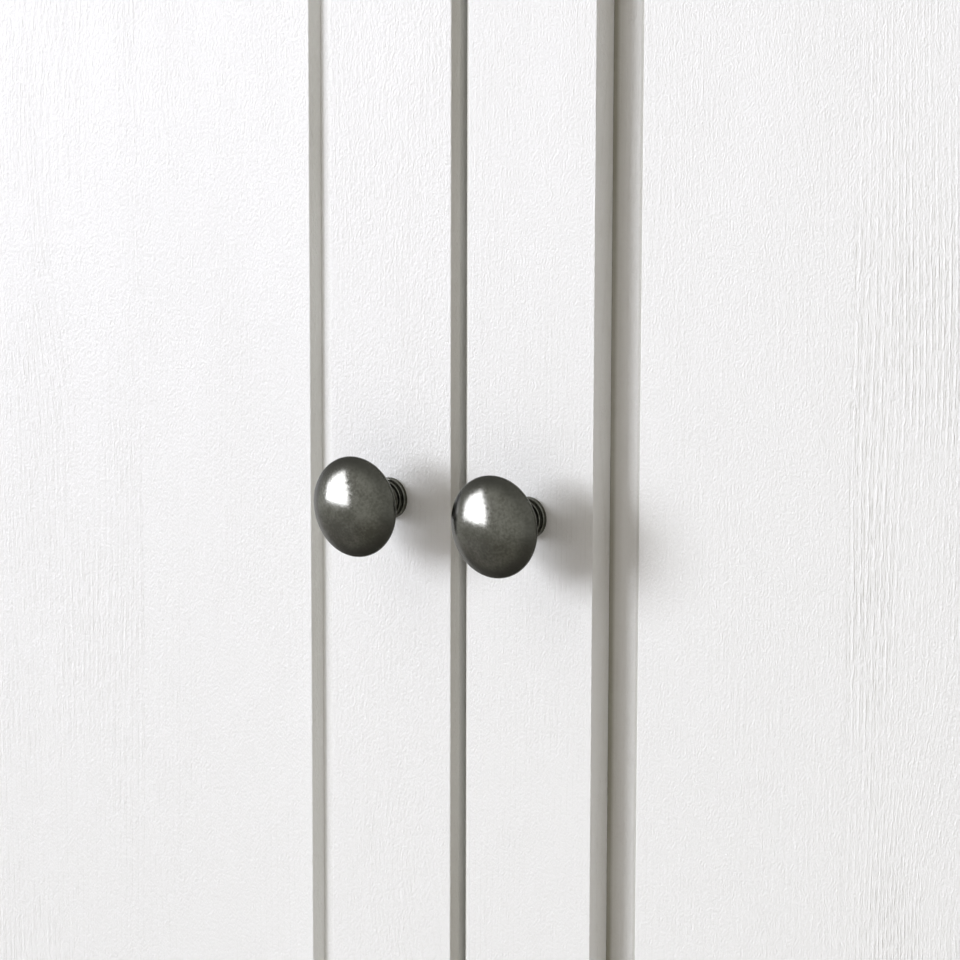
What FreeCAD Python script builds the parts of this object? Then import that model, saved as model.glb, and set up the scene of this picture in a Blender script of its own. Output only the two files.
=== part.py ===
import FreeCAD, Part
import math
import os
from FreeCAD import Placement, Rotation, Vector

# Two-door panelled cupboard. X runs along the front, Y from the front to the back, Z up from the floor.
# The origin is on the floor, under the middle of the whole object. All sizes are in millimetres.

# Case boards
case_width = 860.0          # across the outsides of the side panels
case_depth = 380.0          # side panels, from behind the face frame to the back
side_height = 990.0
side_thick = 20.0
bottom_thick = 20.0
ceiling_thick = 20.0
housing_depth = 6.0         # bottom and ceiling enter the sides by this much
back_thick = 6.0
back_rebate = 10.0          # width of the rebate that takes the back panel
back_rail_height = 70.0
back_rail_thick = 18.0
wall_hole_spacing = 600.0   # between the two wall fixing holes in the back rail
wall_hole_r = 3.0

# Face frame
frame_thick = 22.0
frame_stile_width = 45.0
frame_top_width = 60.0
frame_bottom_width = 45.0
frame_tenon_length = 15.0
frame_tenon_thick = 8.0
frame_tenon_shoulder = 8.0

# Top and cornice
top_thick = 22.0
top_overhang = 22.0         # past the face frame and the side panels
top_round = 6.0
cleat_size = 25.0
cornice_out = 17.0
cornice_height = 18.0
cornice_flat = 3.0          # square edges above and below the hollow

# Plinth
plinth_height = 94.0
plinth_thick = 20.0
plinth_out = 7.0            # past the face frame and the side panels
plinth_chamfer = 5.0
block_size = 32.0
block_height = 60.0

# Shelves
shelf_thick = 18.0
shelf_setback = 40.0        # behind the face frame
shelf_back_gap = 2.0
shelf_end_gap = 0.8
shelf_rises = {"shelf_lower": 290.0, "shelf_upper": 580.0}   # undersides above the bottom board
pin_r = 2.5
pin_in = 9.0
pin_out = 9.0
pin_inset = 50.0            # from the shelf's front and back edges

# Doors
door_thick = 22.0
door_gap = 2.0              # above, below and at the hinges
meeting_gap = 3.0           # between the two doors
door_chamfer = 2.2
stile_width = 54.0
rail_width = 70.0
groove_depth = 8.0
tongue_thick = 6.0
panel_play = 1.5            # room for the panel to swell in its grooves
margin_sink = 10.4          # the sunk margin lies this far behind the stile's face
margin_width = 12.2
field_sink = 6.5            # the raised field lies this far behind the stile's face
field_slope = 2.0           # width of the slope from the margin up to the field

# Knobs
knob_inset = 27.9           # from the door's meeting edge
knob_drop = 440.0           # below the door's top edge
head_r = 17.5
rim_height = 20.6           # the head's widest circle, from the door
dome_rise = 6.5             # the head's crown above its widest circle
dome_round = 1.2            # rounds the front of the rim into the crown
underside_drop = 4.0        # the same two for the head's underside
underside_round = 1.9
flare_r = 9.3               # where the neck's flare meets the underside
neck_r = 5.5
neck_height = 11.0
flange_r = 7.2
flange_height = 1.6
waist_r = 6.1
waist_height = 0.4
collar_r = 6.5
collar_height = 1.2
knob_thread_r = 2.0
knob_thread_depth = 11.0
thread_fit = 0.05
knob_screw_hole_r = 2.3
knob_screw_head_r = 4.5
knob_screw_head_height = 2.4

# Hinges
hinge_length = 65.0
hinge_inset = 90.0          # from the door's top and bottom edges
leaf_thick = 2.0
leaf_depth = 16.0           # into the door's edge, from its face
knuckle_r = 3.5
knuckle_count = 5
knuckle_proud = 3.9         # axis in front of the face
knuckle_gap = 0.3
hinge_pin_r = 1.6
hinge_pin_fit = 0.05
pin_tip_r = 2.6
pin_tip_height = 1.6
leaf_screw_count = 3
leaf_screw_pitch = 22.0
leaf_screw_depth = 9.5      # behind the face

# Screws, all countersunk
screw_head_r = 3.3
screw_head_height = 1.9
screw_shank_r = 1.7
screw_point = 3.0
screw_slot = 0.8
screw_fit = 0.05
leaf_screw_length = 16.0
top_screw_length = 38.0
top_screw_inset = 60.0      # from the ends of the cleats
top_screw_count = 3
back_screw_length = 22.0
back_screw_inset = 60.0     # from the inside of the side panels
back_screw_count = 4
catch_screw_length = 24.0
strike_screw_length = 12.0

# Magnetic catches
catch_x = 30.0              # from the middle of the cupboard
catch_width = 46.0
catch_depth = 15.0
catch_height = 12.0
catch_screw_pitch = 30.0
catch_play = 0.3            # between the magnet and the strike plate
magnet_width = 16.0
magnet_height = 6.0
magnet_sink = 9.0
strike_width = 26.0
strike_height = 9.0
strike_thick = 2.0
strike_drop = 1.5           # below the door's top edge

# Places worked out from the sizes above
knob_reach = rim_height + dome_rise
front_reach = max(knob_reach, top_overhang)
face_y = (front_reach - frame_thick - case_depth) / 2
case_front = face_y + frame_thick
back_y = case_front + case_depth
back_front = back_y - back_thick
case_z = plinth_height
case_top = case_z + side_height
half_width = case_width / 2
inner_half = half_width - side_thick
opening_half = half_width - frame_stile_width
opening_z0 = case_z + frame_bottom_width
opening_z1 = case_top - frame_top_width
hinge_x = -(opening_half - door_gap / 2)
hinge_y = face_y - knuckle_proud
door_x0 = -(opening_half - door_gap)
door_x1 = -meeting_gap / 2
door_z0 = opening_z0 + door_gap
door_z1 = opening_z1 - door_gap
door_back = face_y + door_thick
field_x0 = door_x0 + stile_width
field_x1 = door_x1 - stile_width
field_z0 = door_z0 + rail_width
field_z1 = door_z1 - rail_width
margin_y = face_y + margin_sink
groove_back = margin_y + tongue_thick
knob_x = door_x1 - knob_inset
knob_z = door_z1 - knob_drop
hinge_bottoms = {"upper": door_z1 - hinge_inset - hinge_length, "lower": door_z0 + hinge_inset}
cut_past = 1.0              # cutting tools run past the faces by this much

nodes = {}


def box(x0, x1, y0, y1, z0, z1):
    return Part.makeBox(x1 - x0, y1 - y0, z1 - z0, Vector(x0, y0, z0))


def mirrored(shape):
    return shape.mirror(Vector(0, 0, 0), Vector(1, 0, 0))


def both_sides(left_name, right_name, shape):
    nodes[left_name] = shape
    nodes[right_name] = mirrored(shape)


def evenly(first, last, count):
    return [first + (last - first) * i / (count - 1) for i in range(count)]


def cylinder(r, start, along, length):
    return Part.makeCylinder(r, length, start, along)


def driven(shape, point, along):
    # A screw is drawn with its head at the origin and its point down, then turned to where it is driven.
    out = shape.copy()
    out.Placement = Placement(point, Rotation(Vector(0, 0, -1), along))
    return out


def screw(length, point, along):
    profile = [Vector(0, 0, 0), Vector(screw_head_r, 0, 0), Vector(screw_shank_r, 0, -screw_head_height),
               Vector(screw_shank_r, 0, screw_point - length), Vector(0, 0, -length), Vector(0, 0, 0)]
    body = Part.Face(Part.makePolygon(profile)).revolve(Vector(0, 0, 0), Vector(0, 0, 1), 360)
    slot_half = screw_slot / 2
    slot = box(-screw_head_r, screw_head_r, -slot_half, slot_half, -screw_slot, cut_past)
    return driven(body.cut(slot), point, along)


def screw_hole(length, point, along):
    head = screw_head_r + screw_fit
    shank = screw_shank_r + screw_fit
    profile = [Vector(0, 0, cut_past), Vector(head, 0, cut_past), Vector(head, 0, 0),
               Vector(shank, 0, -screw_head_height), Vector(shank, 0, screw_point - length),
               Vector(0, 0, -length - screw_fit), Vector(0, 0, cut_past)]
    hole = Part.Face(Part.makePolygon(profile)).revolve(Vector(0, 0, 0), Vector(0, 0, 1), 360)
    return driven(hole, point, along)


def with_screws(length, places, names):
    # Returns the screws, and drills every named piece that they pass through.
    holes = [screw_hole(length, point, along) for point, along in places]
    for name in names:
        nodes[name] = nodes[name].cut(holes)
    return Part.makeCompound([screw(length, point, along) for point, along in places])


def front_edges(solid):
    return [edge for edge in solid.Edges if all(abs(v.Y - face_y) < 1e-6 for v in edge.Vertexes)]


def case_boards():
    side = box(-half_width, -inner_half, case_front, back_y, case_z, case_top)
    bottom_z = opening_z0 - bottom_thick
    housed = inner_half + housing_depth
    bottom = box(-housed, housed, case_front, back_front, bottom_z, opening_z0)
    ceiling = box(-housed, housed, case_front, back_front, opening_z1, opening_z1 + ceiling_thick)
    rebated = inner_half + back_rebate
    back = box(-rebated, rebated, back_front, back_y, case_z, case_top)
    rail = box(-inner_half, inner_half, back_front - back_rail_thick, back_front,
               opening_z1 - back_rail_height, opening_z1)
    wall_holes = [cylinder(wall_hole_r, Vector(x, back_front - back_rail_thick - cut_past,
                                               opening_z1 - back_rail_height / 2),
                           Vector(0, 1, 0), back_rail_thick + back_thick + 2 * cut_past)
                  for x in (-wall_hole_spacing / 2, wall_hole_spacing / 2)]
    both_sides("side_panel_left", "side_panel_right", side.cut([bottom, ceiling, back]))
    nodes["bottom_board"] = bottom
    nodes["ceiling_board"] = ceiling
    nodes["back_panel"] = back.cut(wall_holes)
    nodes["back_rail"] = rail.cut(wall_holes)


def face_frame():
    tenon_y0 = face_y + (frame_thick - frame_tenon_thick) / 2
    tenon_half = opening_half + frame_tenon_length
    stile = box(-half_width, -opening_half, face_y, case_front, case_z, case_top)
    tenons = []
    for name, z0, z1 in (("frame_bottom_rail", case_z, opening_z0),
                         ("frame_top_rail", opening_z1, case_top)):
        tenon = box(-tenon_half, tenon_half, tenon_y0, tenon_y0 + frame_tenon_thick,
                    z0 + frame_tenon_shoulder, z1 - frame_tenon_shoulder)
        rail = box(-opening_half, opening_half, face_y, case_front, z0, z1)
        nodes[name] = rail.fuse(tenon).removeSplitter()
        tenons.append(tenon)
    both_sides("frame_stile_left", "frame_stile_right", stile.cut(tenons))


def top():
    board = box(-half_width - top_overhang, half_width + top_overhang, face_y - top_overhang, back_y,
                case_top, case_top + top_thick)
    upper = [edge for edge in board.Edges
             if all(v.Z > case_top + top_thick / 2 for v in edge.Vertexes)
             and not all(v.Y > back_y - 1e-6 for v in edge.Vertexes)]
    nodes["top_board"] = board.makeFillet(top_round, upper)
    cleat = box(-inner_half, -inner_half + cleat_size, case_front, back_front,
                case_top - cleat_size, case_top)
    both_sides("top_cleat_left", "top_cleat_right", cleat)
    cleat_x = inner_half - cleat_size / 2
    ys = evenly(case_front + top_screw_inset, back_front - top_screw_inset, top_screw_count)
    places = [(Vector(x, y, case_top - cleat_size), Vector(0, 0, 1))
              for x in (-cleat_x, cleat_x) for y in ys]
    nodes["top_screws"] = with_screws(top_screw_length, places,
                                      ("top_board", "top_cleat_left", "top_cleat_right"))


def cornice():
    # A hollow moulding: drawn as its section, run along one side and mitred in plan.
    hollow = math.sqrt(0.5)
    corner = [(0, 0), (0, -cornice_height), (cornice_flat, -cornice_height)]
    middle = (cornice_out - (cornice_out - cornice_flat) * hollow,
              -cornice_height + (cornice_height - cornice_flat) * hollow)
    end = (cornice_out, -cornice_flat)
    start = [Vector(0, -out, case_top + z) for out, z in corner]
    middle_point = Vector(0, -middle[0], case_top + middle[1])
    end_point = Vector(0, -end[0], case_top + end[1])
    lip = Vector(0, -cornice_out, case_top)
    edges = [Part.makeLine(start[0], start[1]), Part.makeLine(start[1], start[2]),
             Part.Arc(start[2], middle_point, end_point).toShape(),
             Part.makeLine(end_point, lip), Part.makeLine(lip, start[0])]
    section = Part.Face(Part.Wire(edges))
    half_run = half_width + cornice_out
    side_run = back_y - face_y
    front = section.translated(Vector(-half_run, face_y, 0)).extrude(Vector(2 * half_run, 0, 0))
    side = section.translated(Vector(-side_run, 0, 0)).extrude(Vector(side_run + cornice_out, 0, 0))
    turned = Placement(Vector(-half_width, face_y, 0), Rotation(Vector(0, 0, 1), -90))
    side.Placement = turned.multiply(side.Placement)
    low = case_top - cornice_height
    corner_x = half_width + cornice_out
    corner_y = face_y - cornice_out
    mitre_in = Vector(-half_width, face_y, low)
    mitre_out = Vector(-corner_x, corner_y, low)
    front_plan = [mitre_in, mitre_out, Vector(corner_x, corner_y, low),
                  Vector(half_width, face_y, low), mitre_in]
    side_plan = [mitre_in, mitre_out, Vector(-corner_x, back_y, low),
                 Vector(-half_width, back_y, low), mitre_in]
    rise = Vector(0, 0, cornice_height)
    nodes["cornice_front"] = front.common(Part.Face(Part.makePolygon(front_plan)).extrude(rise))
    side = side.common(Part.Face(Part.makePolygon(side_plan)).extrude(rise))
    both_sides("cornice_left", "cornice_right", side)


def plinth():
    outer = half_width + plinth_out
    front_y = face_y - plinth_out
    shell = box(-outer, outer, front_y, back_y, 0, plinth_height)
    rim = [edge for edge in shell.Edges
           if all(v.Z > plinth_height - 1e-6 for v in edge.Vertexes)
           and not all(v.Y > back_y - 1e-6 for v in edge.Vertexes)]
    shell = shell.makeChamfer(plinth_chamfer, rim)
    inner = outer - plinth_thick
    inner_front = front_y + plinth_thick
    inner_back = back_y - plinth_thick
    nodes["plinth_front"] = shell.common(box(-outer, outer, front_y, inner_front, 0, plinth_height))
    side = shell.common(box(-outer, -inner, inner_front, back_y, 0, plinth_height))
    both_sides("plinth_left", "plinth_right", side)
    nodes["plinth_back"] = box(-inner, inner, inner_back, back_y, 0, plinth_height)
    block_z = plinth_height - block_height
    blocks = [box(x, x + block_size, y, y + block_size, block_z, plinth_height)
              for x in (-inner, inner - block_size) for y in (inner_front, inner_back - block_size)]
    nodes["plinth_blocks"] = Part.makeCompound(blocks)


def shelves():
    front = case_front + shelf_setback
    back = back_front - shelf_back_gap
    half = inner_half - shelf_end_gap
    starts = []
    for name, rise in shelf_rises.items():
        z = opening_z0 + rise
        nodes[name] = box(-half, half, front, back, z, z + shelf_thick)
        starts += [Vector(-inner_half - pin_in, y, z - pin_r)
                   for y in (front + pin_inset, back - pin_inset)]
    inward = Vector(1, 0, 0)
    pins = [cylinder(pin_r, start, inward, pin_in + pin_out) for start in starts]
    holes = [cylinder(pin_r + screw_fit, start, inward, pin_in + cut_past) for start in starts]
    nodes["side_panel_left"] = nodes["side_panel_left"].cut(holes)
    nodes["side_panel_right"] = nodes["side_panel_right"].cut([mirrored(hole) for hole in holes])
    nodes["shelf_pins"] = Part.makeCompound(pins + [mirrored(pin) for pin in pins])


def back_fixings():
    xs = evenly(-inner_half + back_screw_inset, inner_half - back_screw_inset, back_screw_count)
    levels = (opening_z0 - bottom_thick / 2, opening_z1 + ceiling_thick / 2)
    places = [(Vector(x, back_y, z), Vector(0, -1, 0)) for x in xs for z in levels]
    nodes["back_screws"] = with_screws(back_screw_length, places,
                                       ("back_panel", "bottom_board", "ceiling_board"))


def door_frame():
    envelope = box(door_x0, door_x1, face_y, door_back, door_z0, door_z1)
    envelope = envelope.makeChamfer(door_chamfer, front_edges(envelope))
    groove = box(field_x0 - groove_depth, field_x1 + groove_depth, margin_y, groove_back,
                 field_z0 - groove_depth, field_z1 + groove_depth)
    tenon_x0 = field_x0 - groove_depth
    tenon_x1 = field_x1 + groove_depth
    members = {}
    tenons = []
    for name, z0, z1 in (("top_rail", field_z1, door_z1), ("bottom_rail", door_z0, field_z0)):
        tenon = box(tenon_x0, tenon_x1, margin_y, groove_back, z0, z1)
        rail = box(field_x0, field_x1, face_y, door_back, z0, z1).common(envelope)
        members[name] = rail.fuse(tenon).cut(groove).removeSplitter()
        tenons.append(tenon)
    for name, x0, x1 in (("hinge_stile", door_x0, field_x0), ("meeting_stile", field_x1, door_x1)):
        stile = box(x0, x1, face_y, door_back, door_z0, door_z1).common(envelope)
        members[name] = stile.cut([groove] + tenons)
    return members


def door_panel():
    reach = groove_depth - panel_play
    tongue = box(field_x0 - reach, field_x1 + reach, margin_y, groove_back,
                 field_z0 - reach, field_z1 + reach)
    foot_x0 = field_x0 + margin_width
    foot_x1 = field_x1 - margin_width
    foot_z0 = field_z0 + margin_width
    foot_z1 = field_z1 - margin_width
    field = Part.makeWedge(foot_x0 + field_slope, face_y + field_sink, foot_z0 + field_slope,
                           foot_z0, foot_x0, foot_x1 - field_slope,
                           margin_y, foot_z1 - field_slope, foot_z1, foot_x1)
    return tongue.fuse(field).removeSplitter()


def head_arcs(rise, rim_round, up, end_r):
    # One side of the head's section: a small arc from the widest circle, then a wide arc as far as end_r.
    wide_r = (head_r ** 2 - 2 * head_r * rim_round + rise ** 2) / (2 * (rise - rim_round))
    meet = math.asin((head_r - rim_round) / (wide_r - rim_round))
    end = math.asin(end_r / wide_r)

    def on_arc(r, centre_x, centre_z, turn):
        return Vector(centre_x + r * math.sin(turn), 0, rim_height + up * (centre_z + r * math.cos(turn)))

    small = [on_arc(rim_round, head_r - rim_round, 0, t) for t in evenly(math.pi / 2, meet, 3)]
    wide = [on_arc(wide_r, 0, rise - wide_r, t) for t in evenly(meet, end, 3)]
    return [Part.Arc(*small).toShape(), Part.Arc(*wide).toShape()], wide[-1]


def knob():
    # Turned profile: radius, then height from the door's face.
    waist_z = flange_height + waist_height
    collar_z = waist_z + collar_height
    turned = [(0, 0), (flange_r, 0), (flange_r, flange_height),
              (waist_r, flange_height), (waist_r, waist_z),
              (collar_r, waist_z), (collar_r, collar_z),
              (neck_r, collar_z), (neck_r, neck_height)]
    points = [Vector(r, 0, z) for r, z in turned]
    edges = [Part.makeLine(a, b) for a, b in zip(points, points[1:])]
    underside, under = head_arcs(underside_drop, underside_round, -1, flare_r)
    dome, crown = head_arcs(dome_rise, dome_round, 1, 0)
    hollow = math.sqrt(0.5)
    flare = Vector(under.x - (under.x - neck_r) * hollow, 0, neck_height + (under.z - neck_height) * hollow)
    edges += [Part.Arc(points[-1], flare, under).toShape()] + underside[::-1] + dome
    edges.append(Part.makeLine(crown, points[0]))
    solid = Part.Face(Part.Wire(edges)).revolve(Vector(0, 0, 0), Vector(0, 0, 1), 360)
    thread = cylinder(knob_thread_r, Vector(0, 0, -cut_past), Vector(0, 0, 1), knob_thread_depth + cut_past)
    solid = solid.cut(thread)
    solid.Placement = Placement(Vector(knob_x, face_y, knob_z), Rotation(Vector(0, 0, 1), Vector(0, -1, 0)))
    return solid


def knob_screw():
    into_knob = knob_thread_depth - cut_past
    seat = Vector(knob_x, door_back, knob_z)
    shank = cylinder(knob_thread_r - thread_fit, seat, Vector(0, -1, 0), door_thick + into_knob)
    head = cylinder(knob_screw_head_r, seat, Vector(0, 1, 0), knob_screw_head_height)
    return shank.fuse(head).removeSplitter()


def knuckle_span(bottom, index):
    pitch = hinge_length / knuckle_count
    low = bottom + pitch * index + (knuckle_gap / 2 if index else 0)
    high = bottom + pitch * (index + 1) - (knuckle_gap / 2 if index < knuckle_count - 1 else 0)
    return low, high


def leaf(bottom, sign, own):
    # One leaf of a butt hinge. Sign is -1 for the leaf on the frame and 1 for the leaf on the door.
    near = hinge_x + sign * door_gap / 2
    far = near + sign * leaf_thick
    x0, x1 = min(near, far), max(near, far)
    tail = face_y + leaf_depth
    clear_y = hinge_y + knuckle_r + knuckle_gap
    plate = box(x0, x1, clear_y, tail, bottom, bottom + hinge_length)
    pieces = []
    for index in own:
        low, high = knuckle_span(bottom, index)
        pieces.append(cylinder(knuckle_r, Vector(hinge_x, hinge_y, low), Vector(0, 0, 1), high - low))
        pieces.append(box(x0, x1, hinge_y, clear_y, low, high))
    bore = cylinder(hinge_pin_r + hinge_pin_fit, Vector(hinge_x, hinge_y, bottom - cut_past),
                    Vector(0, 0, 1), hinge_length + 2 * cut_past)
    return plate.fuse(pieces).cut(bore).removeSplitter()


def leaf_seat(bottom, sign):
    near = hinge_x + sign * door_gap / 2
    far = near + sign * leaf_thick
    return box(min(near, far), max(near, far), face_y - cut_past, face_y + leaf_depth,
               bottom, bottom + hinge_length)


def hinge_pin(bottom):
    up = Vector(0, 0, 1)
    top_z = bottom + hinge_length
    shaft = cylinder(hinge_pin_r, Vector(hinge_x, hinge_y, bottom), up, hinge_length)
    tips = [cylinder(pin_tip_r, Vector(hinge_x, hinge_y, z), up, pin_tip_height)
            for z in (bottom - pin_tip_height, top_z)]
    return shaft.fuse(tips).removeSplitter()


def leaf_screw_places(sign):
    x = hinge_x + sign * door_gap / 2
    y = face_y + leaf_screw_depth
    first = (hinge_length - leaf_screw_pitch * (leaf_screw_count - 1)) / 2
    return [(Vector(x, y, bottom + first + leaf_screw_pitch * i), Vector(sign, 0, 0))
            for bottom in hinge_bottoms.values() for i in range(leaf_screw_count)]


def left_door():
    # Builds the left door's pieces in place, and the right door's as their mirror image.
    for name, member in door_frame().items():
        nodes["left_" + name] = member
    nodes["left_panel"] = door_panel()
    nodes["left_knob"] = knob()
    nodes["left_knob_screw"] = knob_screw()
    screw_way = cylinder(knob_screw_hole_r, Vector(knob_x, face_y - cut_past, knob_z), Vector(0, 1, 0),
                         door_thick + 2 * cut_past)
    nodes["left_meeting_stile"] = nodes["left_meeting_stile"].cut(screw_way)
    frame_stile = nodes["frame_stile_left"]
    leaf_names = []
    frame_leaf_names = []
    for level, bottom in hinge_bottoms.items():
        leaf_name = "left_hinge_leaf_" + level
        frame_name = "frame_hinge_leaf_left_" + level
        nodes[leaf_name] = leaf(bottom, 1, range(1, knuckle_count, 2))
        nodes[frame_name] = leaf(bottom, -1, range(0, knuckle_count, 2))
        nodes["left_hinge_stile"] = nodes["left_hinge_stile"].cut(leaf_seat(bottom, 1))
        frame_stile = frame_stile.cut(leaf_seat(bottom, -1))
        leaf_names.append(leaf_name)
        frame_leaf_names.append(frame_name)
    nodes["frame_stile_left"] = frame_stile
    nodes["left_hinge_screws"] = with_screws(leaf_screw_length, leaf_screw_places(1),
                                             leaf_names + ["left_hinge_stile"])
    nodes["frame_hinge_screws_left"] = with_screws(leaf_screw_length, leaf_screw_places(-1),
                                                   frame_leaf_names + ["frame_stile_left"])
    strike_z1 = door_z1 - strike_drop
    nodes["left_strike_plate"] = box(-catch_x - strike_width / 2, -catch_x + strike_width / 2, door_back,
                                     door_back + strike_thick, strike_z1 - strike_height, strike_z1)
    strike_middle = Vector(-catch_x, door_back + strike_thick, strike_z1 - strike_height / 2)
    nodes["left_strike_screw"] = with_screws(strike_screw_length, [(strike_middle, Vector(0, -1, 0))],
                                             ("left_strike_plate", "left_meeting_stile"))


def right_door():
    for name in [n for n in nodes if n.startswith("left_")]:
        nodes["right_" + name[len("left_"):]] = mirrored(nodes[name])
    for name in [n for n in nodes if n.startswith("frame_hinge_leaf_left")]:
        nodes[name.replace("_left_", "_right_")] = mirrored(nodes[name])
    nodes["frame_stile_right"] = mirrored(nodes["frame_stile_left"])
    left_screws = nodes.pop("frame_hinge_screws_left")
    nodes["frame_hinge_screws"] = Part.makeCompound(left_screws.Solids + mirrored(left_screws).Solids)
    pins = [hinge_pin(bottom) for bottom in hinge_bottoms.values()]
    nodes["hinge_pins"] = Part.makeCompound(pins + [mirrored(pin) for pin in pins])


def catches():
    y0 = door_back + strike_thick + catch_play
    z0 = opening_z1 - catch_height
    magnet_z0 = z0 + (catch_height - magnet_height) / 2
    body = box(-catch_x - catch_width / 2, -catch_x + catch_width / 2, y0, y0 + catch_depth, z0, opening_z1)
    magnet = box(-catch_x - magnet_width / 2, -catch_x + magnet_width / 2, y0, y0 + magnet_sink,
                 magnet_z0, magnet_z0 + magnet_height)
    both_sides("catch_left", "catch_right", body.cut(magnet))
    nodes["catch_magnets"] = Part.makeCompound([magnet, mirrored(magnet)])
    xs = [side * (catch_x + step * catch_screw_pitch / 2) for side in (-1, 1) for step in (-1, 1)]
    places = [(Vector(x, y0 + catch_depth / 2, z0), Vector(0, 0, 1)) for x in xs]
    nodes["catch_screws"] = with_screws(catch_screw_length, places,
                                        ("catch_left", "catch_right", "ceiling_board"))


case_boards()
face_frame()
top()
cornice()
plinth()
shelves()
back_fixings()
left_door()
right_door()
catches()

os.makedirs("parts", exist_ok=True)
for node_name, node_shape in nodes.items():
    node_shape.exportStep("parts/" + node_name + ".step")
print(len(nodes), "nodes")
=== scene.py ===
import bmesh
import bpy
import math
from mathutils import Matrix, Vector


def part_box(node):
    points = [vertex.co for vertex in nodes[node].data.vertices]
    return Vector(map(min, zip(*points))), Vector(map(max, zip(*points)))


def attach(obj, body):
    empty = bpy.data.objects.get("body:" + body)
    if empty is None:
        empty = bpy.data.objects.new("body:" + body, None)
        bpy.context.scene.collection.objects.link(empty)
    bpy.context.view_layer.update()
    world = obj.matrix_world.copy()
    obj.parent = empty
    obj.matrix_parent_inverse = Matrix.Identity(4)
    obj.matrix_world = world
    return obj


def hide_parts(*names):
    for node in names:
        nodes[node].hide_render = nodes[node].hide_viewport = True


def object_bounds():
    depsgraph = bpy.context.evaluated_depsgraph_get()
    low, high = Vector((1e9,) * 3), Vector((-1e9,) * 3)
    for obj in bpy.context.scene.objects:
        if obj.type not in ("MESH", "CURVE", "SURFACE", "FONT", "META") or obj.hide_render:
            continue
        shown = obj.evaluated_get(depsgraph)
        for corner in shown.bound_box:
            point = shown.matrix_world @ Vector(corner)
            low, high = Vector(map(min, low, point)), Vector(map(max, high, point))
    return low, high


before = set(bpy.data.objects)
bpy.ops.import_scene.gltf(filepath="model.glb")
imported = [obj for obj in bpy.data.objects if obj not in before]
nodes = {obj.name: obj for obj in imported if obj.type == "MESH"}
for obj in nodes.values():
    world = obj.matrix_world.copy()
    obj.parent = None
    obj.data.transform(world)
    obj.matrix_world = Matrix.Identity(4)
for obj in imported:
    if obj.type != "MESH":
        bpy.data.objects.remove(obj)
cadLow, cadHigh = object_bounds()
mm = 0.001
print("frame loaded:", len(nodes), "nodes")

# the point on the door faces midway between the two knobs
knobLow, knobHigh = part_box("left_knob")
knobX = (knobLow.x + knobHigh.x) / 2
knobsMiddle = Vector((0, knobHigh.y, (knobLow.z + knobHigh.z) / 2))


def linear(hexCode):  # sRGB hex to the linear numbers that a shader takes
    parts = [int(hexCode[i:i + 2], 16) / 255 for i in (1, 3, 5)]
    return [v / 12.92 if v <= 0.04045 else ((v + 0.055) / 1.055) ** 2.4 for v in parts] + [1]


def addNode(tree, kind, settings, inputs):  # a node with its settings, its values and its links
    node = tree.nodes.new("ShaderNode" + kind)
    for name, value in settings.items():
        setattr(node, name, value)
    for socket, value in inputs.items():
        if isinstance(value, bpy.types.Node):
            value = value.outputs[0]
        if isinstance(value, bpy.types.NodeSocket):
            tree.links.new(value, node.inputs[socket])
        else:
            node.inputs[socket].default_value = value
    return node


def pieceName(nodeName):  # left_top_rail becomes leftTopRail
    first, *rest = nodeName.split("_")
    return first + "".join(word.title() for word in rest)


def bodyOf(nodeName):
    side = nodeName.split("_")[0]
    return side + "_door" if side in ("left", "right") else "case"


def pick(thing):  # makes one object the only one selected
    bpy.ops.object.select_all(action="DESELECT")
    thing.select_set(True)
    bpy.context.view_layer.objects.active = thing


def applyModifier(thing, kind, settings):
    modifier = thing.modifiers.new(kind.title(), kind)
    for name, value in settings.items():
        setattr(modifier, name, value)
    bpy.ops.object.modifier_apply(modifier=modifier.name)


# camera: a long lens, to the right of the doors and a little above the knobs; millimetres and degrees, and
# metres for the farthest thing in view
viewpoint = {"lens": 152.48, "sensor": 36, "farthest": 100, "fromKnobs": (806.0, -1106.5, 270.3),
             "turn": 35.771, "dip": 10.784, "roll": 0.152}

cameraData = bpy.data.cameras.new("camera")
cameraData.lens = viewpoint["lens"]
cameraData.sensor_width = viewpoint["sensor"]
cameraData.clip_end = viewpoint["farthest"]
camera = bpy.data.objects.new("camera", cameraData)
bpy.context.collection.objects.link(camera)
aim = (Matrix.Rotation(math.radians(viewpoint["turn"]), 4, "Z")
       @ Matrix.Rotation(math.radians(90 - viewpoint["dip"]), 4, "X")
       @ Matrix.Rotation(math.radians(viewpoint["roll"]), 4, "Z"))
camera.matrix_world = Matrix.Translation(knobsMiddle + Vector(viewpoint["fromKnobs"]) * mm) @ aim
bpy.context.scene.camera = camera
bpy.context.scene.view_settings.view_transform = "Standard"
print("camera set")

# light: a broad key from far off on the left, which is even over both doors, weak lamps overhead and behind,
# and a soft box that only shiny metal shows, tinted so that its highlights stay neutral; in degrees, metres
# and watts
keyLamp = {"left": 47.5, "up": 8.5, "away": 4, "spread": 32, "strength": 3.05, "tint": "#F7FAFF"}
fillLamps = {"overhead": {"left": 30, "up": 52, "away": 2.5, "size": 1.8, "power": 12},
             "behind": {"left": 222, "up": 28, "away": 3.2, "size": 2.0, "power": 60}}
# the soft box leans and narrows towards its top: how far up, how wide and how high each of its strips is
softBox = {"left": 50.0, "lean": 0.05, "away": 2.0, "powerPerArea": 40, "tint": "#ECECFF",
           "strips": ((-1.4, 1.5, 0.29), (6.8, 1.5, 0.29), (14.3, 1.18, 0.24), (20.2, 0.72, 0.18),
                      (25.0, 0.32, 0.17))}
roomLook = {"warm": "#FFE6C0", "light": 0.12, "white": "#FFFFFF", "seenLight": 1.0}


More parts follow.
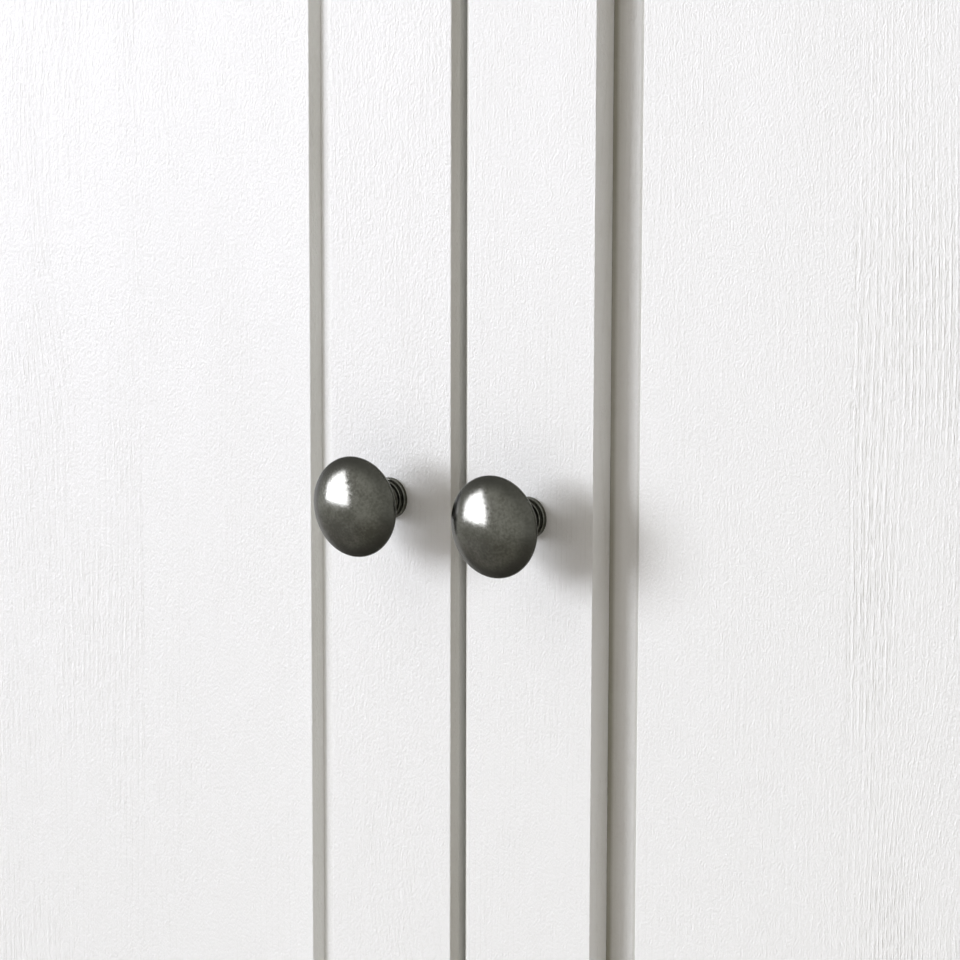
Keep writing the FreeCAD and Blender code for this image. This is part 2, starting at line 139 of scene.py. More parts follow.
def hangLamp(name, kind, left, up, away):  # turned to the point between the knobs
    lamp = bpy.data.objects.new(name, bpy.data.lights.new(name, kind))
    left, up = math.radians(left), math.radians(up)
    towards = Vector((-math.sin(left) * math.cos(up), -math.cos(left) * math.cos(up), math.sin(up)))
    lamp.location = knobsMiddle + towards * away
    lamp.rotation_euler = towards.to_track_quat("Z", "Y").to_euler()
    lamp.visible_camera = False
    bpy.context.collection.objects.link(lamp)
    return lamp


key = hangLamp("key", "SUN", keyLamp["left"], keyLamp["up"], keyLamp["away"])
key.data.energy = keyLamp["strength"]
key.data.angle = math.radians(keyLamp["spread"])
key.data.color = linear(keyLamp["tint"])[:3]
key.visible_glossy = False
for name, lamp in fillLamps.items():
    fill = hangLamp(name, "AREA", lamp["left"], lamp["up"], lamp["away"])
    fill.data.size = lamp["size"]
    fill.data.energy = lamp["power"]
    fill.visible_glossy = False
for up, width, height in softBox["strips"]:
    strip = hangLamp("softBoxStrip", "AREA", softBox["left"] + softBox["lean"] * up, up, softBox["away"])
    strip.data.shape = "RECTANGLE"
    strip.data.size, strip.data.size_y = width, height
    strip.data.energy = softBox["powerPerArea"] * width * height
    strip.data.color = linear(softBox["tint"])[:3]
    strip.visible_diffuse = False


def seenRays(tree):  # 1 for what is seen, in metal and through glass too, and 0 for light on things
    path = addNode(tree, "LightPath", {}, {})
    seen = addNode(tree, "Math", {"operation": "ADD"},
                   {0: path.outputs["Is Camera Ray"], 1: path.outputs["Is Glossy Ray"]})
    return addNode(tree, "Math", {"operation": "ADD", "use_clamp": True},
                   {0: seen, 1: path.outputs["Is Transmission Ray"]})


room = bpy.data.worlds.new("room")
room.use_nodes = True
room.node_tree.nodes.clear()
warmLight = addNode(room.node_tree, "Background", {}, {"Color": linear(roomLook["warm"]),
                                                       "Strength": roomLook["light"]})
whiteRoom = addNode(room.node_tree, "Background", {}, {"Color": linear(roomLook["white"]),
                                                       "Strength": roomLook["seenLight"]})
either = addNode(room.node_tree, "MixShader", {}, {0: seenRays(room.node_tree), 1: warmLight, 2: whiteRoom})
addNode(room.node_tree, "OutputWorld", {}, {"Surface": either})
bpy.context.scene.world = room
print("lamps and room set")


def startMaterial(name):
    material = bpy.data.materials.new(name)
    material.use_nodes = True
    material.node_tree.nodes.clear()
    return material, material.node_tree


times = {"operation": "MULTIPLY"}
timesPlus = {"operation": "MULTIPLY_ADD"}
plus = {"operation": "ADD"}
smooth = {"interpolation_type": "SMOOTHSTEP"}
colours = {"data_type": "RGBA"}

# eggshell paint rolled on planed pine: a clean white with a fine stipple, over grain that stands up in
# narrow ridges and bends round the knots; painted shade darkens the grain's hollows towards the hollow
# colour, and the panels' corners and the doors' meeting edges towards the shade colour; sizes are in
# millimetres, across and along the grain, and depths are heights of the relief; a range is given by socket:
# 1 and 2 are from low and from high, 3 and 4 are to low and to high
paintLook = {"white": "#F5F5F4", "hollow": "#BEBEB6", "troughTint": 0.6, "poreTint": 0.2, "grime": "#ABA99B",
             "roughness": (0.44, 0.56), "stipple": (0.64, 1.1), "stippleDepth": 0.2,
             "ridgeGap": 2.5, "ridgeDepth": 0.12, "dash": (0.9, 4.5), "wander": (42, 260), "wanderRidges": 6,
             "patch": (30, 120), "pore": (0.5, 7), "poreDepth": 0.05,
             "crestRange": {1: 0.1, 2: 1}, "dipRange": {1: -0.8, 2: -1}, "poreRange": {1: 0.64, 2: 0.76},
             "dashRange": {1: 0.38, 2: 0.62, 3: 0.1, 4: 1}, "patchRange": {1: 0.36, 2: 0.6, 3: 0.3, 4: 1},
             "grimeRange": {1: 0.2, 2: 0.8, 3: 0.75, 4: 1.15},
             "slant": 0.4, "knotReach": 1.6, "plankApart": (137, 61, 911), "ior": 1.47}
# across, up, half width and half height of each knot on the doors, and the ridges that it pushes aside
doorKnots = ((-25, 450, 15, 30, 3.5), (190, 462, 22, 60, 8), (122, 742, 16, 55, 3.5), (-196, 700, 20, 80, 5),
             (-300, 372, 14, 34, 4), (292, 806, 18, 60, 5), (206, 240, 13, 30, 4), (358, 500, 12, 26, 3.5),
             (-352, 850, 13, 28, 3.5), (31, 866, 12, 24, 3))


def grainPaint(name, turn, knots):  # turn lays the grain along the board, in degrees about X, Y and Z
    material, tree = startMaterial(name)
    look = paintLook
    place = addNode(tree, "TexCoord", {}, {})
    along = addNode(tree, "Mapping", {}, {"Vector": place.outputs["Object"], "Scale": [1 / mm] * 3,
                                          "Rotation": [math.radians(a) for a in turn]})
    shift, rise, grime = [addNode(tree, "Attribute", {"attribute_name": of}, {}).outputs["Fac"]
                          for of in ("plankShift", "plankRise", "grime")]
    apart = addNode(tree, "VectorMath", {"operation": "SCALE"}, {0: look["plankApart"], "Scale": shift})
    spot = addNode(tree, "VectorMath", plus, {0: along, 1: apart})
    noises = {}
    for of, detail in (("stipple", 1), ("dash", 0), ("wander", 1), ("patch", 2), ("pore", 0)):
        width, length = look[of]
        stretched = addNode(tree, "VectorMath", {"operation": "DIVIDE"},
                            {0: spot, 1: (width, width, length)})
        noises[of] = addNode(tree, "TexNoise", {}, {"Vector": stretched, "Scale": 1, "Detail": detail})

    # even lines across the board, pushed about by slow waves and by the knots
    perRidge = 1 / look["ridgeGap"]
    ridgesAcross = (perRidge, look["slant"] * perRidge, 0)
    across = addNode(tree, "VectorMath", {"operation": "DOT_PRODUCT"}, {0: spot, 1: ridgesAcross})
    phase = addNode(tree, "Math", timesPlus, {0: noises["wander"], 1: look["wanderRidges"],
                                              2: across.outputs["Value"]})
    for x, z, width, height, ridges in knots:
        offset = addNode(tree, "VectorMath", {"operation": "SUBTRACT"}, {0: along, 1: (x, 0, z)})
        reach = addNode(tree, "VectorMath", times, {0: offset, 1: (1 / width, 0, 1 / height)})
        away = addNode(tree, "VectorMath", {"operation": "LENGTH"}, {0: reach})
        bend = addNode(tree, "MapRange", smooth, {0: away.outputs["Value"], 1: 0, 2: look["knotReach"],
                                                  3: ridges, 4: 0})
        phase = addNode(tree, "Math", plus, {0: phase, 1: bend})
    phase = addNode(tree, "Math", times, {0: phase, 1: 2 * math.pi})
    wave = addNode(tree, "Math", {"operation": "SINE"}, {0: phase})
    crest = addNode(tree, "MapRange", smooth, {0: wave, **look["crestRange"]})
    broken = addNode(tree, "MapRange", smooth, {0: noises["dash"], **look["dashRange"]})
    patches = addNode(tree, "MapRange", smooth, {0: noises["patch"], **look["patchRange"]})
    shown = addNode(tree, "Math", times, {0: patches, 1: rise})
    lines = addNode(tree, "Math", times, {0: broken, 1: shown})
    ridge = addNode(tree, "Math", times, {0: crest, 1: lines})
    dip = addNode(tree, "MapRange", smooth, {0: wave, **look["dipRange"]})
    trough = addNode(tree, "Math", times, {0: dip, 1: lines})
    specks = addNode(tree, "MapRange", smooth, {0: noises["pore"], **look["poreRange"]})
    pores = addNode(tree, "Math", times, {0: specks, 1: shown})

    # the relief in millimetres, and the painted shade in its hollows
    stipple = addNode(tree, "Math", times, {0: noises["stipple"], 1: look["stippleDepth"]})
    raised = addNode(tree, "Math", timesPlus, {0: ridge, 1: look["ridgeDepth"], 2: stipple})
    height = addNode(tree, "Math", timesPlus, {0: pores, 1: -look["poreDepth"], 2: raised})
    relief = addNode(tree, "Bump", {}, {"Strength": 1, "Distance": mm, "Height": height})
    # painted shade in the grain: the troughs between ridges and the pores are darkened towards the hollow
    # colour
    between = addNode(tree, "Math", times, {0: trough, 1: look["troughTint"]})
    grainShade = addNode(tree, "Math", {**timesPlus, "use_clamp": True},
                   {0: pores, 1: look["poreTint"], 2: between})
    clean = addNode(tree, "Mix", colours, {0: grainShade, 6: linear(look["white"]), 7: linear(look["hollow"])})
    # painted shade in the panels' corners and on the doors' meeting edges, broken up by the patches
    uneven = addNode(tree, "MapRange", smooth, {0: noises["patch"], **look["grimeRange"]})
    shadeAmount = addNode(tree, "Math", {**times, "use_clamp": True}, {0: grime, 1: uneven})
    colour = addNode(tree, "Mix", colours, {0: shadeAmount, 6: clean.outputs[2], 7: linear(look["grime"])})
    rough = addNode(tree, "MapRange", {}, {0: noises["patch"], 3: look["roughness"][0],
                                           4: look["roughness"][1]})
    shader = addNode(tree, "BsdfPrincipled", {}, {"Base Color": colour.outputs[2], "Roughness": rough,
                                                  "Normal": relief, "IOR": look["ior"]})
    addNode(tree, "OutputMaterial", {}, {"Surface": shader})
    return material


paints = {"up": grainPaint("eggshellPaintUpright", (0, 0, 0), doorKnots),
          "across": grainPaint("eggshellPaintAcross", (0, 90, 0), ()),
          "back": grainPaint("eggshellPaintFrontToBack", (90, 0, 0), ())}

# cast pewter, darkened and rubbed back: a dull olive grey sheen, faintly mottled, with a grainy edge to each
# highlight, and a darker patina towards the rim, which also holds a painted reflection: darker above and
# below the knob than along a slant across it
pewterLook = {"dark": "#52524A", "light": "#6A6A62", "patina": "#3A3A35",
              "mottle": 0.9, "cloud": 7, "grit": 0.3, "roughness": (0.13, 0.19), "gritDepth": 0.008}
# lacquered steel, toned down to match the knobs: dark and even
hingeLook = {"dark": "#4A4A44", "light": "#66665E", "mottle": 2.5, "cloud": 14, "grit": 0.5,
             "roughness": (0.3, 0.45), "gritDepth": 0.004}
# zinc plated steel: a cool pale grey with cloudy patches
zincLook = {"dark": "#A9ABAC", "light": "#C6C8C8", "mottle": 1.2, "cloud": 6, "grit": 0.3,
            "roughness": (0.24, 0.4), "gritDepth": 0.003}
# by socket, as for the paint: how the noises make patches, and how the sheen follows the mottle
metalRanges = {"patches": {1: 0.7, 2: 1.3}, "sheen": {1: 0.3, 2: 0.7}}


def mottledMetal(name, look):
    material, tree = startMaterial(name)
    place = addNode(tree, "TexCoord", {}, {})
    noises = {}
    for of, detail in (("mottle", 3), ("cloud", 2), ("grit", 2)):
        noises[of] = addNode(tree, "TexNoise", {}, {"Vector": place.outputs["Object"],
                                                    "Scale": 1 / mm / look[of], "Detail": detail})
    patches = addNode(tree, "Math", plus, {0: noises["mottle"], 1: noises["cloud"]})
    patches = addNode(tree, "MapRange", smooth, {0: patches, **metalRanges["patches"]})
    bare = addNode(tree, "Mix", colours, {0: patches, 6: linear(look["dark"]), 7: linear(look["light"])})
    # patina and painted reflection: the knobs' attribute darkens the metal towards the patina colour
    patina = addNode(tree, "Attribute", {"attribute_name": "patina"}, {})
    colour = addNode(tree, "Mix", colours, {0: patina.outputs["Fac"], 6: bare.outputs[2],
                                            7: linear(look.get("patina", look["dark"]))})
    rough = addNode(tree, "MapRange", {}, {0: noises["mottle"], **metalRanges["sheen"],
                                           3: look["roughness"][0], 4: look["roughness"][1]})
    relief = addNode(tree, "Bump", {}, {"Strength": 1, "Distance": look["gritDepth"] * mm,
                                        "Height": noises["grit"]})
    shader = addNode(tree, "BsdfPrincipled", {}, {"Base Color": colour.outputs[2], "Roughness": rough,
                                                  "Normal": relief, "Metallic": 1})
    addNode(tree, "OutputMaterial", {}, {"Surface": shader})
    return material


pewter = mottledMetal("castPewter", pewterLook)
hingeSteel = mottledMetal("darkLacqueredSteel", hingeLook)
zinc = mottledMetal("zincPlatedSteel", zincLook)

# moulded ABS and sintered ferrite: matt, with a fine spark texture
plasticLook = {"low": "#E4E2DB", "high": "#EFEDE6", "grain": 0.5, "depth": 0.01, "roughness": (0.4, 0.5)}
ferriteLook = {"low": "#2A2A2B", "high": "#3A3938", "grain": 0.8, "depth": 0.02, "roughness": (0.6, 0.75)}


def finePlain(name, look):
    material, tree = startMaterial(name)
    place = addNode(tree, "TexCoord", {}, {})
    grain = addNode(tree, "TexNoise", {}, {"Vector": place.outputs["Object"],
                                           "Scale": 1 / mm / look["grain"], "Detail": 2})
    colour = addNode(tree, "Mix", colours, {0: grain, 6: linear(look["low"]), 7: linear(look["high"])})
    rough = addNode(tree, "MapRange", {}, {0: grain, 3: look["roughness"][0], 4: look["roughness"][1]})
    relief = addNode(tree, "Bump", {}, {"Strength": 1, "Distance": look["depth"] * mm, "Height": grain})
    shader = addNode(tree, "BsdfPrincipled", {}, {"Base Color": colour.outputs[2], "Roughness": rough,
                                                  "Normal": relief})
    addNode(tree, "OutputMaterial", {}, {"Surface": shader})
    return material, shader


plastic = finePlain("mouldedPlastic", plasticLook)[0]
ferrite = finePlain("sinteredFerrite", ferriteLook)[0]
print("materials made")

# floor: a pale sheet that fades to the white of the room, in metres from the middle
floorLook = {"low": "#EAE9E6", "high": "#EEEDEA", "grain": 4.0, "depth": 0.05, "roughness": (0.6, 0.7),
             "size": 80, "fade": (0.6, 2.8), "nearWhite": 0.4}

bpy.ops.object.select_all(action="DESELECT")
bpy.ops.mesh.primitive_plane_add(size=floorLook["size"], location=(0, 0, cadLow.z))
floor = bpy.context.object
floor.name = "floor"
floorFinish, floorShader = finePlain("paleFloor", floorLook)
floor.data.materials.append(floorFinish)
floorTree = floorFinish.node_tree
place = addNode(floorTree, "TexCoord", {}, {})
distance = addNode(floorTree, "VectorMath", {"operation": "LENGTH"}, {0: place.outputs["Object"]})
fade = addNode(floorTree, "MapRange", smooth, {0: distance.outputs["Value"], 1: floorLook["fade"][0],
                                               2: floorLook["fade"][1]})
path = addNode(floorTree, "LightPath", {}, {})
nearGlow = addNode(floorTree, "Math", times, {0: path.outputs["Is Camera Ray"], 1: floorLook["nearWhite"]})
farGlow = addNode(floorTree, "Math", times, {0: seenRays(floorTree), 1: fade})
glow = addNode(floorTree, "Math", {"operation": "MAXIMUM"}, {0: nearGlow, 1: farGlow})
white = addNode(floorTree, "Emission", {}, {"Color": linear(roomLook["white"]),
                                            "Strength": roomLook["seenLight"]})
faded = addNode(floorTree, "MixShader", {}, {0: glow, 1: floorShader, 2: white})
addNode(floorTree, "OutputMaterial", {"is_active_output": True}, {"Surface": faded})
print("floor laid")

# boards: each is the CAD's board with its sharp edges sanded off, and the wide ones are glued up from
# planks; they are listed by the way that the grain runs, with the edge rounding in millimetres
boardEdges = {"seam": 0.03, "flat": 0.5, "sharp": 30, "shortest": 8, "steps": 2, "smooth": 20}
boards = {"up": {"side_panel_left": 0.8, "side_panel_right": 0.8, "back_panel": 0.5, "plinth_blocks": 0.8,
                 "frame_stile_left": 0.5, "frame_stile_right": 0.5,
                 "left_hinge_stile": 0.3, "left_meeting_stile": 0.3, "left_panel": 0.4,
                 "right_hinge_stile": 0.3, "right_meeting_stile": 0.3, "right_panel": 0.4},
          "across": {"bottom_board": 0.8, "ceiling_board": 0.8, "back_rail": 0.8, "top_board": 0.6,
                     "frame_top_rail": 0.5, "frame_bottom_rail": 0.5, "cornice_front": 0.4,
                     "plinth_front": 0.6, "plinth_back": 0.8, "shelf_lower": 1.2, "shelf_upper": 1.2,
                     "left_top_rail": 0.3, "left_bottom_rail": 0.3,
                     "right_top_rail": 0.3, "right_bottom_rail": 0.3},
          "back": {"cornice_left": 0.4, "cornice_right": 0.4, "plinth_left": 0.6, "plinth_right": 0.6,
                   "top_cleat_left": 0.8, "top_cleat_right": 0.8}}
# where the glue joints lie in millimetres, and how strongly the grain of each plank shows
planks = {"left_panel": ("x", (-232, -148), (0.5, 0.45, 0.2)),
          "right_panel": ("x", (150.5, 234), (0.2, 1.0, 0.6)),
          "left_meeting_stile": ("x", (), (0.25,)), "right_meeting_stile": ("x", (), (0.2,)),
          "side_panel_left": ("y", (-70, 25, 122), (0.6, 0.9, 0.4, 0.7)),
          "side_panel_right": ("y", (-62, 38, 130), (0.8, 0.5, 0.9, 0.6)),
          "top_board": ("y", (-112, -10, 98), (0.6, 0.9, 0.5, 0.8)),
          "shelf_lower": ("y", (-30, 88), (0.5, 0.8, 0.6)), "shelf_upper": ("y", (-44, 76), (0.8, 0.5, 0.7)),
          "bottom_board": ("y", (-48, 66), (0.6, 0.8, 0.5)),
          "ceiling_board": ("y", (-40, 80), (0.5, 0.7, 0.6)),
          "back_panel": ("x", (-310, -205, -98, 6, 112, 214, 318), (0.5, 0.8, 0.6, 0.9, 0.5, 0.7, 0.9, 0.6))}
# how far apart boards and planks are cut from the timber, and how strongly the grain of a whole board shows
timber = {"boardStep": 0.618, "plankStep": 0.377, "leastRise": 0.4, "riseStep": 7.3, "riseSpread": 0.5}
hairline = {"half": 0.3, "deep": 0.12, "steps": 2}  # the groove at a glue joint
# painted shade on a panel by its distance from the frame, darkest next to the frame and again near the edge
# of the raised field, and on the edges of the doors that meet, in the gap between them
cornerShade = ((0, 1.0), (1.0, 1.0), (2.5, 0.4), (5.5, 0.04), (10.4, 0.1), (11.0, 0.4), (12.3, 0.5),
              (14.1, 0.45), (14.4, 0.0))
meetingShade = {"edge": 0.45, "edgeReach": 1.6, "chamfer": 0.49, "reach": 3.55}


def nodeCopy(nodeName):  # its own mesh, with the loose triangles joined and flat faces made whole
    piece = bpy.data.objects.new(pieceName(nodeName), nodes[nodeName].data.copy())
    bpy.context.collection.objects.link(piece)
    pick(piece)
    bpy.ops.object.mode_set(mode="EDIT")
    bpy.ops.mesh.select_mode(type="EDGE")
    bpy.ops.mesh.select_all(action="SELECT")
    bpy.ops.mesh.remove_doubles(threshold=boardEdges["seam"] * mm)
    bpy.ops.mesh.dissolve_limited(angle_limit=math.radians(boardEdges["flat"]))
    bpy.ops.mesh.select_all(action="DESELECT")
    return piece


def mergeSlivers(piece):  # joins points that a bevel laid on each other, and drops the flaps that are left
    bpy.ops.object.mode_set(mode="EDIT")
    bpy.ops.mesh.select_all(action="SELECT")
    bpy.ops.mesh.remove_doubles(threshold=boardEdges["seam"] * mm)
    mesh = bmesh.from_edit_mesh(piece.data)
    shares = {face: [len(edge.link_faces) for edge in face.edges] for face in mesh.faces}
    flaps = [face for face, counts in shares.items() if min(counts) < 2 and max(counts) > 2]
    bmesh.ops.delete(mesh, geom=flaps, context="FACES")
    bmesh.update_edit_mesh(piece.data)
    bpy.ops.object.mode_set(mode="OBJECT")


def dress(piece, nodeName, material):
    piece.data.materials.clear()
    piece.data.materials.append(material)
    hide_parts(nodeName)
    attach(piece, bodyOf(nodeName))


def cutBoard(axis, at):  # cuts round the board in edit mode and leaves the cut selected
    normal = Vector([axis == "x", axis == "y", axis == "z"])
    bpy.ops.mesh.select_all(action="SELECT")
    bpy.ops.mesh.bisect(plane_co=normal * at, plane_no=normal)


def gluePlanks(piece, axis, joints):  # a hairline groove at each joint
    half = hairline["half"] * mm
    for joint in joints:
        cutBoard(axis, joint * mm)
        bpy.ops.mesh.bevel(offset=half, segments=hairline["steps"], affect="EDGES", clamp_overlap=False)
        mesh = bmesh.from_edit_mesh(piece.data)
        for vert in mesh.verts:
            vert.select_set(abs(getattr(vert.co, axis) - joint * mm) < half / 4)
        bmesh.update_edit_mesh(piece.data)
        bpy.ops.transform.shrink_fatten(value=-hairline["deep"] * mm)


def frameOpening(side):  # the opening of a door's frame: across low and high, up low and high
    hinge, meeting, top, bottom = [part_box(side + "_" + part) for part in
                                   ("hinge_stile", "meeting_stile", "top_rail", "bottom_rail")]
    if side == "left":
        return hinge[1].x, meeting[0].x, bottom[1].z, top[0].z
    return meeting[1].x, hinge[0].x, bottom[1].z, top[0].z


def shadeAt(place, opening):  # how much painted shade a panel has at a point
    depth = min(place.x - opening[0], opening[1] - place.x, place.z - opening[2], opening[3] - place.z) / mm
    for (near, nearShade), (far, farShade) in zip(cornerShade, cornerShade[1:]):
        if depth < far:
            return nearShade + (farShade - nearShade) * max(0, depth - near) / (far - near)
    return 0


def easedBoard(nodeName, grain, ease, shift):
    piece = nodeCopy(nodeName)
    mesh = bmesh.from_edit_mesh(piece.data)
    for edge in mesh.edges:
        turn = edge.calc_face_angle_signed(0) if len(edge.link_faces) == 2 else 0
        edge.select_set(turn > math.radians(boardEdges["sharp"])
                        and edge.calc_length() > boardEdges["shortest"] * mm)
    bmesh.update_edit_mesh(piece.data)
    bpy.ops.mesh.bevel(offset=ease * mm, segments=boardEdges["steps"], affect="EDGES", clamp_overlap=False)
    wholeRise = timber["leastRise"] + shift * timber["riseStep"] % timber["riseSpread"]
    axis, joints, rises = planks.get(nodeName, ("x", (), (wholeRise,)))
    gluePlanks(piece, axis, joints)
    opening = frameOpening(nodeName.split("_")[0]) if nodeName in ("left_panel", "right_panel") else None
    if opening:
        for place, _ in cornerShade:
            for way, limit, sign in zip("xxzz", opening, (1, -1, 1, -1)):
                cutBoard(way, limit + sign * place * mm)
    mergeSlivers(piece)
    bpy.ops.object.shade_smooth_by_angle(angle=math.radians(boardEdges["smooth"]))
    applyModifier(piece, "WEIGHTED_NORMAL", {"keep_sharp": True})
    # what the paint reads: each plank's own stretch of grain, how strongly it shows, and the painted shade
    order = [sum(getattr(face.center, axis) / mm > joint for joint in joints)
             for face in piece.data.polygons]
    shades = [0] * len(piece.data.vertices)
    for vert in piece.data.vertices:
        if opening:
            shades[vert.index] = shadeAt(vert.co, opening)
        elif "meeting_stile" in nodeName and abs(vert.co.x) < meetingShade["reach"] * mm:
            edge = abs(vert.co.x) < meetingShade["edgeReach"] * mm
            shades[vert.index] = meetingShade["edge" if edge else "chamfer"]
    shifts = [shift + count * timber["plankStep"] for count in order]
    for name, domain, values in (("plankShift", "FACE", shifts),
                                 ("plankRise", "FACE", [rises[count] for count in order]),
                                 ("grime", "POINT", shades)):
        piece.data.attributes.new(name, "FLOAT", domain).data.foreach_set("value", values)
    dress(piece, nodeName, paints[grain])


boardCount = 0
for grain, group in boards.items():
    for nodeName, ease in group.items():
        boardCount += 1
        easedBoard(nodeName, grain, ease, boardCount * timber["boardStep"])
print("boards eased:", boardCount)

# knobs: turned from a ring that is drawn out and widened step by step, from the bore to the crown; in
# millimetres and degrees, with rimHeight and neckHeight from the door, and a patina and painted reflection
# of 1 is the darkest
knobShape = {"headR": 17.5, "rimHeight": 20.6, "domeRise": 6.5, "domeRound": 1.2,
             "undersideDrop": 4.0, "undersideRound": 1.9, "flareR": 9.3,
             "neckR": 5.5, "neckHeight": 11.0, "flangeR": 7.2, "flangeHeight": 1.6, "flangeRound": 0.6,
             "waistR": 6.1, "waistHeight": 0.4, "collarR": 6.5, "collarHeight": 1.2, "collarRound": 0.45,
             "collarInset": 0.3, "crownR": 0.01, "boreR": 2.0, "boreDepth": 11.0,
             "sides": 128, "arcSteps": 14, "ringSteps": 6,
             "edgeRound": 0.2, "edgeSteps": 3, "sharp": 50, "smooth": 40,
             "rubbedR": 12.0, "tarnishedR": 15.5, "rimPatina": 1.0, "sidePatina": 0.45, "rubbedTurn": 20,
             "neckPatina": 0.1}


def headSide(rise, rimRound, up, endR):  # radius and height of points from the widest circle to the axis
    headR, steps = knobShape["headR"], knobShape["arcSteps"]
    wideR = (headR ** 2 - 2 * headR * rimRound + rise ** 2) / (2 * (rise - rimRound))
    meet = math.asin((headR - rimRound) / (wideR - rimRound))
    end = math.asin(endR / wideR)
    points = []
    for i in range(steps + 1):
        turn = math.pi / 2 + (meet - math.pi / 2) * i / steps
        points.append((headR - rimRound + rimRound * math.sin(turn), up * rimRound * math.cos(turn)))
    for i in range(1, steps + 1):
        turn = meet + (end - meet) * i / steps
        points.append((wideR * math.sin(turn), up * (rise - wideR + wideR * math.cos(turn))))
    return [(r, knobShape["rimHeight"] + h) for r, h in points]


def ringEdge(r, h, rounding):  # the rounded outer edge of a ring
    steps = knobShape["ringSteps"]
    turns = [math.pi / 2 * i / steps for i in range(steps + 1)]
    return [(r - rounding + rounding * math.cos(t), h - rounding + rounding * math.sin(t)) for t in turns]


def knobProfile():
    k = knobShape
    waistTop = k["flangeHeight"] + k["waistHeight"]
    collarTop = waistTop + k["collarHeight"]
    profile = [(k["boreR"], k["boreDepth"]), (k["boreR"], 0), (k["flangeR"], 0)]
    profile += ringEdge(k["flangeR"], k["flangeHeight"], k["flangeRound"])
    profile += [(k["waistR"], k["flangeHeight"]), (k["waistR"], waistTop)]
    profile += [(k["collarR"] - k["collarInset"], waistTop)]
    profile += ringEdge(k["collarR"], collarTop, k["collarRound"])
    profile += [(k["neckR"], collarTop), (k["neckR"], k["neckHeight"])]
    under = headSide(k["undersideDrop"], k["undersideRound"], -1, k["flareR"])[::-1]
    for i in range(1, k["arcSteps"]):  # the hollow flare from the neck to the head
        turn = math.pi / 2 * i / k["arcSteps"]
        profile.append((under[0][0] - (under[0][0] - k["neckR"]) * math.cos(turn),
                        k["neckHeight"] + (under[0][1] - k["neckHeight"]) * math.sin(turn)))
    dome = headSide(k["domeRise"], k["domeRound"], 1, k["crownR"])
    return profile + under + dome[1:]


def turnedKnob():
    profile = knobProfile()
    bpy.ops.object.select_all(action="DESELECT")
    at = Vector((knobX, knobsMiddle.y - profile[0][1] * mm, knobsMiddle.z))
    bpy.ops.mesh.primitive_circle_add(vertices=knobShape["sides"], radius=profile[0][0] * mm, location=at,
                                      rotation=(math.pi / 2, 0, 0))
    piece = bpy.context.object
    bpy.ops.object.transform_apply(location=True, rotation=True, scale=True)
    bpy.ops.object.mode_set(mode="EDIT")
    bpy.ops.mesh.select_all(action="SELECT")
    bpy.ops.mesh.edge_face_add()
    bpy.ops.mesh.select_mode(type="EDGE")
    for (r, h), (nextR, nextH) in zip(profile, profile[1:]):
        at.y -= (nextH - h) * mm
        bpy.ops.mesh.extrude_edges_move(TRANSFORM_OT_translate={"value": (0, -(nextH - h) * mm, 0)})
        bpy.ops.transform.resize(value=(nextR / r, 1, nextR / r), center_override=at)
    bpy.ops.mesh.merge(type="CENTER")
    bpy.ops.mesh.select_all(action="SELECT")
    bpy.ops.mesh.normals_make_consistent(inside=False)
    bpy.ops.object.mode_set(mode="OBJECT")
    applyModifier(piece, "BEVEL", {"width": knobShape["edgeRound"] * mm, "segments": knobShape["edgeSteps"],
                                   "limit_method": "ANGLE", "angle_limit": math.radians(knobShape["sharp"])})
    mergeSlivers(piece)
    bpy.ops.object.shade_smooth_by_angle(angle=math.radians(knobShape["smooth"]))
    patina = []  # patina that darkens towards the rim, and painted reflection: less dark along a slant across the knob, darker above and below it
    for vert in piece.data.vertices:
        x, z = vert.co.x - knobX, vert.co.z - knobsMiddle.z
        outer = math.hypot(x, z) / mm - knobShape["rubbedR"]
        outer = outer / (knobShape["tarnishedR"] - knobShape["rubbedR"])
        slant = abs(math.sin(math.atan2(z, x) - math.radians(knobShape["rubbedTurn"])))
        dark = knobShape["sidePatina"] + (knobShape["rimPatina"] - knobShape["sidePatina"]) * slant
        behind = (knobsMiddle.y - vert.co.y) / mm < knobShape["rimHeight"] - knobShape["undersideDrop"]
        patina.append(knobShape["neckPatina"] if behind else dark * min(max(outer, 0), 1))
    piece.data.attributes.new("patina", "FLOAT", "POINT").data.foreach_set("value", patina)
    return piece


leftKnob = turnedKnob()
leftKnob.name = "leftKnob"
rightKnob = bpy.data.objects.new("rightKnob", leftKnob.data.copy())
bpy.context.collection.objects.link(rightKnob)
pick(rightKnob)
bpy.ops.transform.translate(value=(-2 * knobX, 0, 0))
bpy.ops.object.transform_apply(location=True, rotation=True, scale=True)
dress(leftKnob, "left_knob", pewter)
dress(rightKnob, "right_knob", pewter)
print("knobs turned")

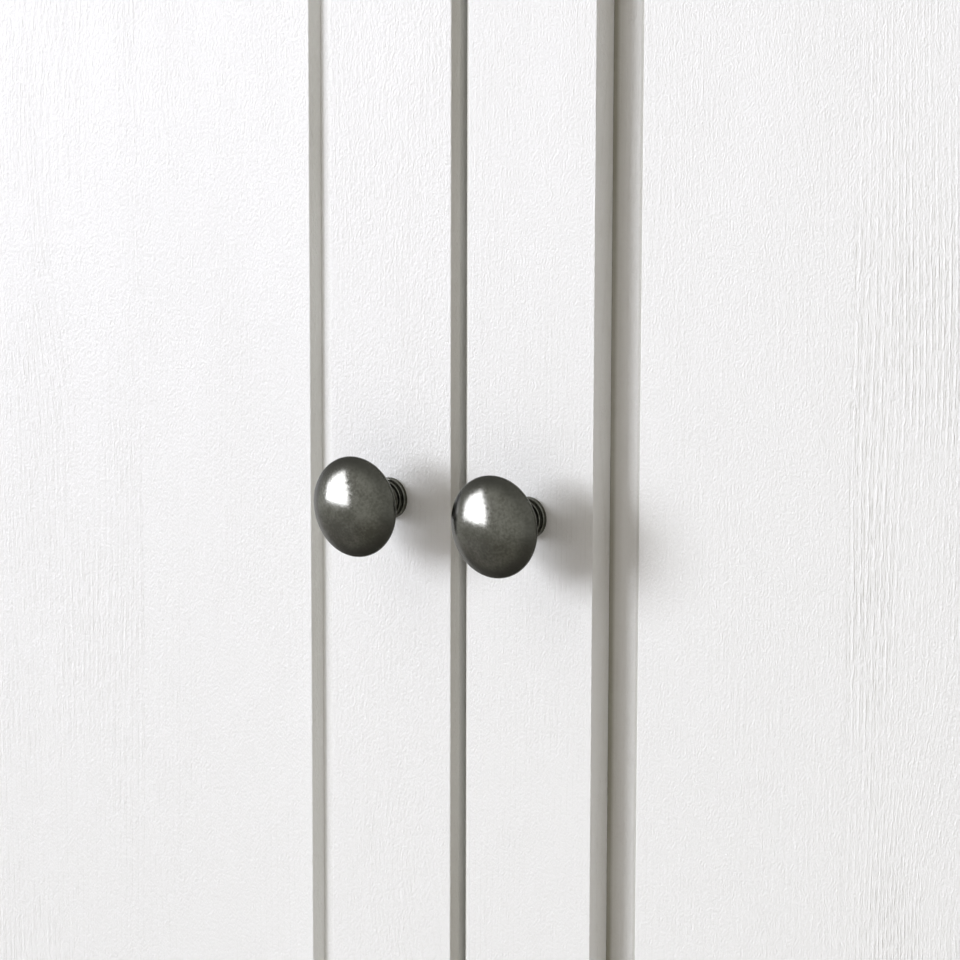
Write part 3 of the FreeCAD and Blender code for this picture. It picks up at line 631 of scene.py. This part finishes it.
# fittings: hinges, pins, catches and strike plates with their edges broken; millimetres and degrees
fittingEdges = {"leafEase": 0.25, "steps": 3, "sharp": 40, "smooth": 35}
fittings = {"hinge_pins": (0.7, hingeSteel, "hinge_metal"), "shelf_pins": (0.5, zinc, "plated_steel"),
            "catch_left": (0.8, plastic, "catch_plastic"), "catch_right": (0.8, plastic, "catch_plastic"),
            "catch_magnets": (0.2, ferrite, "magnet"),
            "left_strike_plate": (0.4, zinc, "plated_steel"),
            "right_strike_plate": (0.4, zinc, "plated_steel")}
for nodeName in nodes:
    if "hinge_leaf" in nodeName:
        fittings[nodeName] = (fittingEdges["leafEase"], hingeSteel, "hinge_metal")


def brokenEdges(nodeName, ease, material):
    piece = nodeCopy(nodeName)
    bpy.ops.object.mode_set(mode="OBJECT")
    applyModifier(piece, "BEVEL", {"width": ease * mm, "segments": fittingEdges["steps"],
                                   "limit_method": "ANGLE",
                                   "angle_limit": math.radians(fittingEdges["sharp"])})
    mergeSlivers(piece)
    bpy.ops.object.shade_smooth_by_angle(angle=math.radians(fittingEdges["smooth"]))
    dress(piece, nodeName, material)


for nodeName, (ease, material, slot) in fittings.items():
    brokenEdges(nodeName, ease, material)
print("fittings finished:", len(fittings))

# screws: the turned shapes as the CAD has them, with a slot sawn across the heads of the knob screws; in
# millimetres and degrees
screwShape = {"slotWide": 1.0, "slotDeep": 1.0, "slotLong": 12, "slotTurn": 37, "smooth": 30}


def finishedScrews(nodeName):
    piece = nodeCopy(nodeName)
    bpy.ops.object.mode_set(mode="OBJECT")
    if "knob" in nodeName:
        low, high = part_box(nodeName)
        bpy.ops.object.select_all(action="DESELECT")
        head = ((low.x + high.x) / 2, high.y, (low.z + high.z) / 2)
        bpy.ops.mesh.primitive_cube_add(size=mm, location=head,
                                        rotation=(0, math.radians(screwShape["slotTurn"]), 0),
                                        scale=(screwShape["slotLong"], 2 * screwShape["slotDeep"],
                                               screwShape["slotWide"]))
        saw = bpy.context.object
        pick(piece)
        applyModifier(piece, "BOOLEAN", {"operation": "DIFFERENCE", "solver": "EXACT", "object": saw})
        bpy.data.objects.remove(saw)
    bpy.ops.object.shade_smooth_by_angle(angle=math.radians(screwShape["smooth"]))
    dress(piece, nodeName, zinc)


screws = [nodeName for nodeName in nodes if "screw" in nodeName]
for nodeName in screws:
    finishedScrews(nodeName)
print("screws finished:", len(screws))
